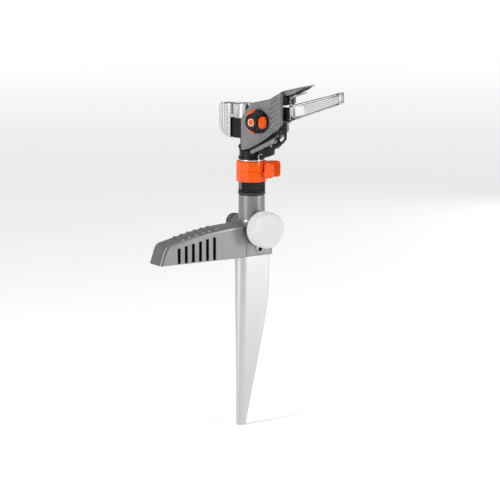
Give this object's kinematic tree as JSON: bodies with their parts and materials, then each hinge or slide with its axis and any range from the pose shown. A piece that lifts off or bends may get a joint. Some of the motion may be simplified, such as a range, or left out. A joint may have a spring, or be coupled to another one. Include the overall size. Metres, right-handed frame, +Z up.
{
  "type": "impact sprinkler",
  "caption": "Impact lawn sprinkler with a hammer arm, sector stops and flow knob, on a metal ground spike with a foot pedal and hose inlet.",
  "frame": {"origin": "on the riser's vertical axis, at the underside of the base housing, which is soil level once the spike is trodden in", "axes": "+Z up along the riser; the foot pedal points along -X, the hose inlet along +Y and the capped outlet along -Y"},
  "size_m": [0.1487, 0.1497, 0.3469],
  "materials": {
    "housing": "satin silver-grey moulded plastic",
    "cap": "pale grey moulded plastic with a fine grain",
    "spike_metal": "satin pressed sheet",
    "black_plastic": "satin black moulded plastic",
    "cover_grey": "satin mid-grey moulded plastic",
    "orange": "semi-gloss orange moulded plastic",
    "knob_grey": "satin dark grey plastic",
    "chrome": "bright plated metal",
    "steel": "stainless steel",
    "seal_rubber": "matt black rubber",
    "white_plastic": "natural white plastic"
  },
  "bodies": {
    "base": {"spike": "spike_metal", "base_housing": "housing", "foot_pedal": "housing", "pedal_liner": "black_plastic", "pedal_screw_1": "steel", "pedal_screw_2": "steel", "spike_screw": "steel", "spike_nut": "steel", "inlet_nipple": "housing", "outlet_nipple": "housing", "inlet_oring_1": "seal_rubber", "inlet_oring_2": "seal_rubber", "outlet_oring_1": "seal_rubber", "outlet_oring_2": "seal_rubber", "inlet_strainer": "white_plastic", "riser_seal": "seal_rubber", "bearing_nipple": "black_plastic", "ring_retainer": "chrome"},
    "cap": {"end_cap": "cap", "end_cap_seal": "seal_rubber"},
    "lower_ring": {"lower_sector_ring": "orange"},
    "upper_ring": {"upper_sector_ring": "orange"},
    "head": {"spindle": "steel", "spindle_washer_1": "white_plastic", "spindle_washer_2": "steel", "thrust_spring": "steel", "head_body": "black_plastic", "side_cover_near": "cover_grey", "side_cover_far": "cover_grey", "top_cover_far": "cover_grey", "cover_screw_1": "steel", "cover_screw_2": "steel", "cover_screw_3": "steel", "nozzle": "chrome", "jet_needle": "steel", "arm_pivot_pin": "steel", "arm_spring": "steel", "flap_pin": "steel", "trip_pin": "steel"},
    "arm": {"arm": "chrome", "counterweight": "chrome", "counterweight_rivet": "steel"},
    "knob": {"knob_body": "black_plastic", "knob_face": "knob_grey", "knob_button": "orange", "knob_inlay_1": "orange", "knob_inlay_2": "orange", "knob_inlay_3": "orange", "valve_spindle": "steel"},
    "flap": {"deflector_flap": "cover_grey"},
    "trip": {"trip_lever": "black_plastic", "trip_cover": "cover_grey", "trip_clip": "steel"},
    "wire": {"trip_wire": "steel"}
  },
  "joints": [
    {"name": "cap_pull", "type": "slide", "parent": "base", "child": "cap", "axis": [0, -1, 0], "range_m": [0, 0.03]},
    {"name": "lower_ring_turn", "type": "hinge", "parent": "base", "child": "lower_ring", "pos_m": [0, 0, 0.079], "axis": [0, 0, 1], "range_deg": [-19, 8]},
    {"name": "upper_ring_turn", "type": "hinge", "parent": "base", "child": "upper_ring", "pos_m": [0, 0, 0.089], "axis": [0, 0, 1], "range_deg": [-8, 275]},
    {"name": "head_spin", "type": "hinge", "parent": "base", "child": "head", "pos_m": [0, 0, 0.1], "axis": [0, 0, 1], "range_deg": [-275, 19]},
    {"name": "arm_swing", "type": "hinge", "parent": "head", "child": "arm", "pos_m": [-0.00293, 0.00851, 0.145], "axis": [0, 0, 1], "range_deg": [0, 90], "stiffness_Nm_per_rad": 0.02},
    {"name": "knob_turn", "type": "hinge", "parent": "head", "child": "knob", "pos_m": [-0.01253, -0.02504, 0.1362], "axis": [-0.9455, -0.3256, 0], "range_deg": [-135, 135]},
    {"name": "flap_tilt", "type": "hinge", "parent": "head", "child": "flap", "pos_m": [0.01452, -0.04217, 0.1651], "axis": [-0.9455, -0.3256, 0], "range_deg": [0, 45]},
    {"name": "trip_rock", "type": "hinge", "parent": "head", "child": "trip", "pos_m": [0.00977, -0.02837, 0.1124], "axis": [-0.9455, -0.3256, 0], "range_deg": [-4, 0]},
    {"name": "wire_flip", "type": "hinge", "parent": "trip", "child": "wire", "pos_m": [0.00084, -0.02086, 0.103], "axis": [-0.9455, -0.3256, 0], "range_deg": [0, 90]}
  ]
}
